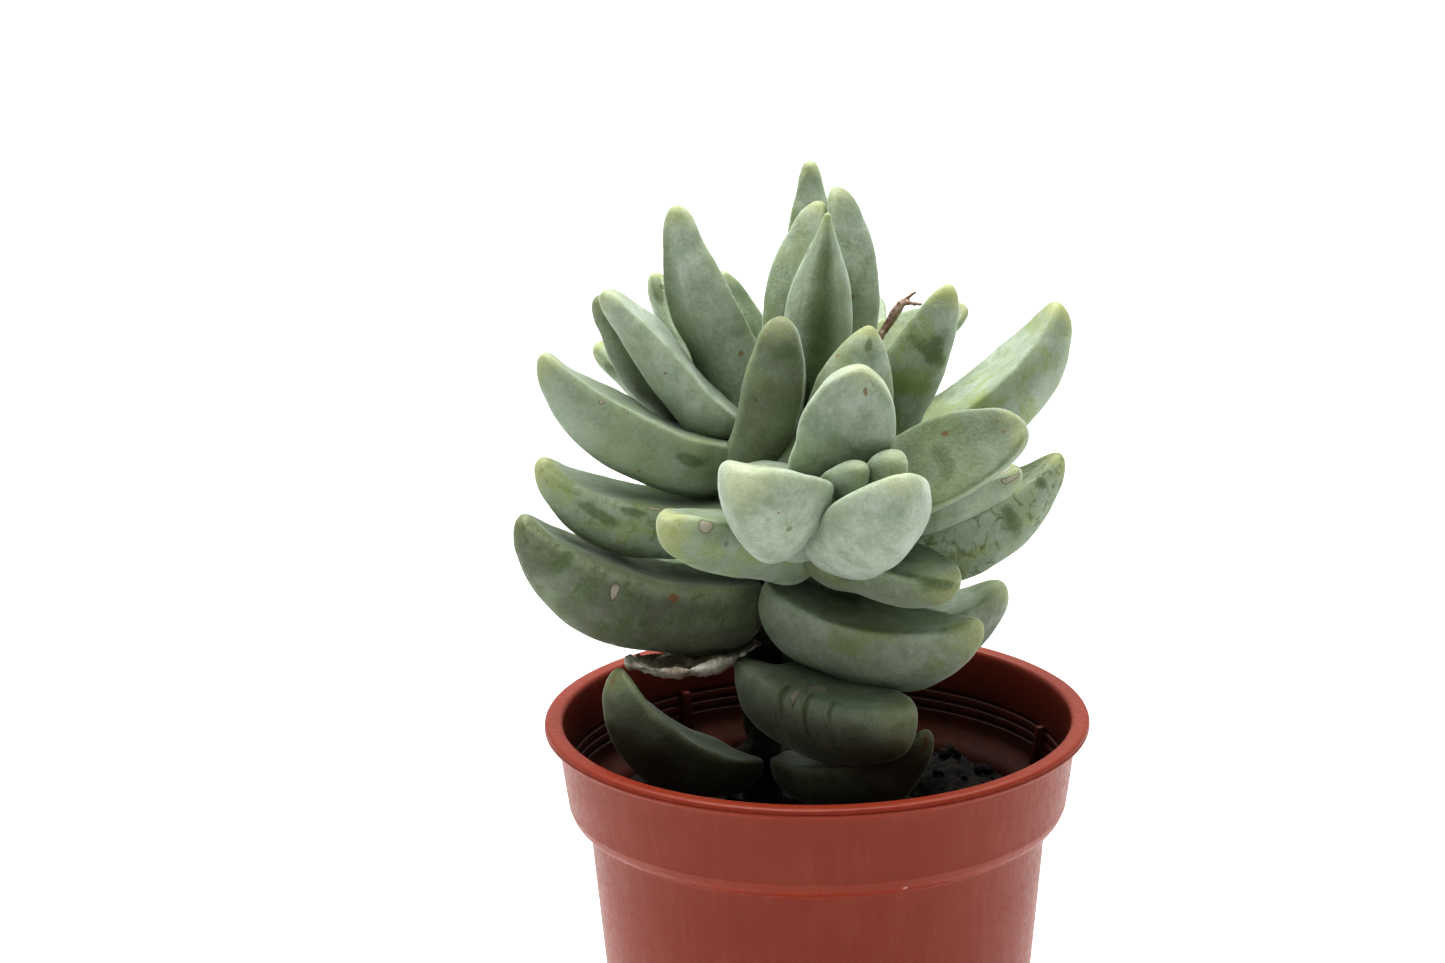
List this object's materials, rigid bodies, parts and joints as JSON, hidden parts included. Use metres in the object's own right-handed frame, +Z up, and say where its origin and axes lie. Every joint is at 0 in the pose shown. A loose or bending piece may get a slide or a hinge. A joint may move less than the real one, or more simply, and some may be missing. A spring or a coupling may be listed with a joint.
{
  "type": "potted succulent",
  "caption": "Small branching succulent with thick boat-shaped leaves, standing in soil in a round plastic nursery pot.",
  "frame": {"origin": "centre of the pot's underside", "axes": "+Z up through the middle of the pot; -Y is the side that the forward-facing head of leaves leans towards"},
  "size_m": [0.0573, 0.0555, 0.104],
  "materials": {
    "pot": "satin terracotta-coloured plastic",
    "soil": null,
    "stem": "scabby grey-brown bark",
    "leaf": null,
    "withered_leaf": "dry and papery",
    "flower_stalk": "dry and brown"
  },
  "bodies": {
    "root": {"back_leaf_far_left": "leaf", "back_leaf_far_right": "leaf", "back_leaf_left": "leaf", "back_leaf_low_left": "leaf", "back_leaf_low_right": "leaf", "back_leaf_middle": "leaf", "back_leaf_right": "leaf", "back_leaf_top_left": "leaf", "back_leaf_top_right": "leaf", "flower_stalk": "flower_stalk", "front_bud_left": "leaf", "front_bud_right": "leaf", "front_leaf_far_right": "leaf", "front_leaf_left": "leaf", "front_leaf_left_low": "leaf", "front_leaf_right": "leaf", "front_leaf_right_low": "leaf", "front_leaf_thin": "leaf", "front_leaf_top": "leaf", "left_leaf_behind": "leaf", "left_leaf_inner": "leaf", "left_leaf_lower": "leaf", "left_leaf_lowest": "leaf", "left_leaf_small": "leaf", "left_leaf_top": "leaf", "left_leaf_upper": "leaf", "low_leaf_back": "leaf", "low_leaf_front": "leaf", "low_leaf_left": "leaf", "low_leaf_right": "leaf", "middle_leaf_left": "leaf", "middle_leaf_right": "leaf", "pot": "pot", "right_leaf_back": "leaf", "right_leaf_front": "leaf", "right_leaf_long": "leaf", "soil": "soil", "soil_leaf_left": "leaf", "soil_leaf_right": "leaf", "stem": "stem", "top_leaf_back": "leaf", "top_leaf_front": "leaf", "top_leaf_left": "leaf", "top_leaf_outer_left": "leaf", "top_leaf_outer_right": "leaf", "top_leaf_right": "leaf", "withered_leaf": "withered_leaf"}
  },
  "joints": []
}
